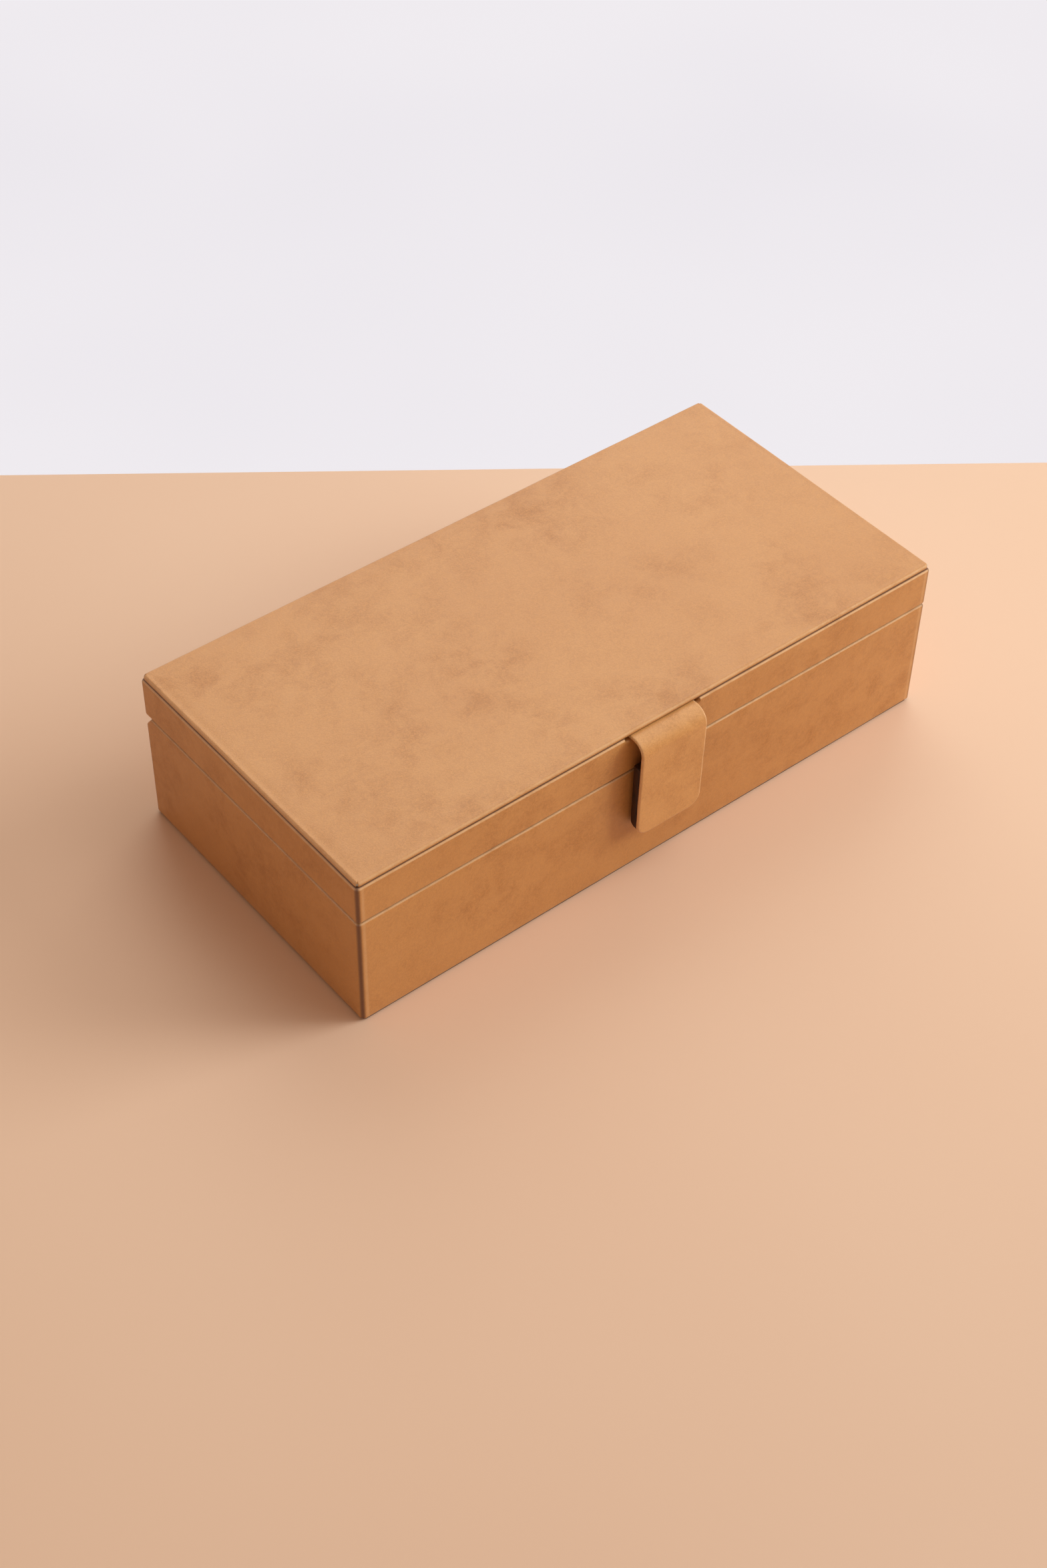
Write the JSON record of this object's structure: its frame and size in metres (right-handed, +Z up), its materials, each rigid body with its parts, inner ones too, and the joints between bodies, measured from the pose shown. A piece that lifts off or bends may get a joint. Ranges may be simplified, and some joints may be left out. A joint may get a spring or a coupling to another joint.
{
  "type": "watch presentation box",
  "caption": "Leather-covered watch box with a hinged lid, a magnetic strap tab and rows of removable watch cushions.",
  "frame": {"origin": "middle of the box's footprint, on the surface it stands on, leaving out the tab that stands out in front", "axes": "+X along the length to the right seen from the front, +Y to the hinged back, +Z up"},
  "size_m": [0.339, 0.175, 0.088],
  "materials": {
    "leather": "smooth tan cover leather with a fine pore grain and darker mottling, satin",
    "board": "raw fibreboard",
    "card": "grey board",
    "suede": "short-nap beige suede on card",
    "cushion_suede": "short-nap beige suede over foam",
    "brass": "satin brass",
    "magnet": "nickel-plated magnet",
    "underside": "brown felt on card"
  },
  "bodies": {
    "base": {"base_back_board": "board", "base_back_lining": "suede", "base_bottom_board": "board", "base_front_board": "board", "base_front_lining": "suede", "base_hinge_screws": "brass", "base_leather_cover": "leather", "base_left_board": "board", "base_left_lining": "suede", "base_right_board": "board", "base_right_lining": "suede", "catch_magnet": "magnet", "cross_divider_1": "suede", "cross_divider_2": "suede", "cross_divider_3": "suede", "cross_divider_4": "suede", "cross_divider_5": "suede", "floor_lining": "suede", "left_hinge_base_leaf": "brass", "left_hinge_pin": "brass", "long_divider": "suede", "right_hinge_base_leaf": "brass", "right_hinge_pin": "brass", "underside_panel": "underside"},
    "lid": {"lid_leather_cover": "leather", "top_panel_leather": "leather", "top_panel_board": "card", "tab_strap_tail": "leather", "lid_deck_board": "board", "lid_ceiling_pad": "suede", "lid_hinge_screws": "brass", "left_hinge_lid_leaf": "brass", "right_hinge_lid_leaf": "brass", "lid_back_board": "board", "lid_back_lining": "suede", "lid_front_board": "board", "lid_front_lining": "suede", "lid_left_board": "board", "lid_left_lining": "suede", "lid_right_board": "board", "lid_right_lining": "suede"},
    "clasp_tab": {"tab_strap": "leather", "tab_core": "card", "tab_back_leather": "leather", "tab_magnet": "magnet"},
    "cushion_01": {"watch_cushion_01": "cushion_suede"},
    "cushion_02": {"watch_cushion_02": "cushion_suede"},
    "cushion_03": {"watch_cushion_03": "cushion_suede"},
    "cushion_04": {"watch_cushion_04": "cushion_suede"},
    "cushion_05": {"watch_cushion_05": "cushion_suede"},
    "cushion_06": {"watch_cushion_06": "cushion_suede"},
    "cushion_07": {"watch_cushion_07": "cushion_suede"},
    "cushion_08": {"watch_cushion_08": "cushion_suede"},
    "cushion_09": {"watch_cushion_09": "cushion_suede"},
    "cushion_10": {"watch_cushion_10": "cushion_suede"},
    "cushion_11": {"watch_cushion_11": "cushion_suede"},
    "cushion_12": {"watch_cushion_12": "cushion_suede"}
  },
  "joints": [
    {"name": "lid_hinge", "type": "hinge", "parent": "base", "child": "lid", "pos_m": [0, 0.0806, 0.0632], "axis": [-1, 0, 0], "range_deg": [0, 100]},
    {"name": "tab_flex", "type": "hinge", "parent": "lid", "child": "clasp_tab", "pos_m": [0, -0.0843, 0.0845], "axis": [-1, 0, 0], "range_deg": [0, 75]},
    {"name": "cushion_01_lift", "type": "slide", "parent": "base", "child": "cushion_01", "axis": [0, 0, 1], "range_m": [0, 0.027]},
    {"name": "cushion_02_lift", "type": "slide", "parent": "base", "child": "cushion_02", "axis": [0, 0, 1], "range_m": [0, 0.027]},
    {"name": "cushion_03_lift", "type": "slide", "parent": "base", "child": "cushion_03", "axis": [0, 0, 1], "range_m": [0, 0.027]},
    {"name": "cushion_04_lift", "type": "slide", "parent": "base", "child": "cushion_04", "axis": [0, 0, 1], "range_m": [0, 0.027]},
    {"name": "cushion_05_lift", "type": "slide", "parent": "base", "child": "cushion_05", "axis": [0, 0, 1], "range_m": [0, 0.027]},
    {"name": "cushion_06_lift", "type": "slide", "parent": "base", "child": "cushion_06", "axis": [0, 0, 1], "range_m": [0, 0.027]},
    {"name": "cushion_07_lift", "type": "slide", "parent": "base", "child": "cushion_07", "axis": [0, 0, 1], "range_m": [0, 0.027]},
    {"name": "cushion_08_lift", "type": "slide", "parent": "base", "child": "cushion_08", "axis": [0, 0, 1], "range_m": [0, 0.027]},
    {"name": "cushion_09_lift", "type": "slide", "parent": "base", "child": "cushion_09", "axis": [0, 0, 1], "range_m": [0, 0.027]},
    {"name": "cushion_10_lift", "type": "slide", "parent": "base", "child": "cushion_10", "axis": [0, 0, 1], "range_m": [0, 0.027]},
    {"name": "cushion_11_lift", "type": "slide", "parent": "base", "child": "cushion_11", "axis": [0, 0, 1], "range_m": [0, 0.027]},
    {"name": "cushion_12_lift", "type": "slide", "parent": "base", "child": "cushion_12", "axis": [0, 0, 1], "range_m": [0, 0.027]}
  ]
}
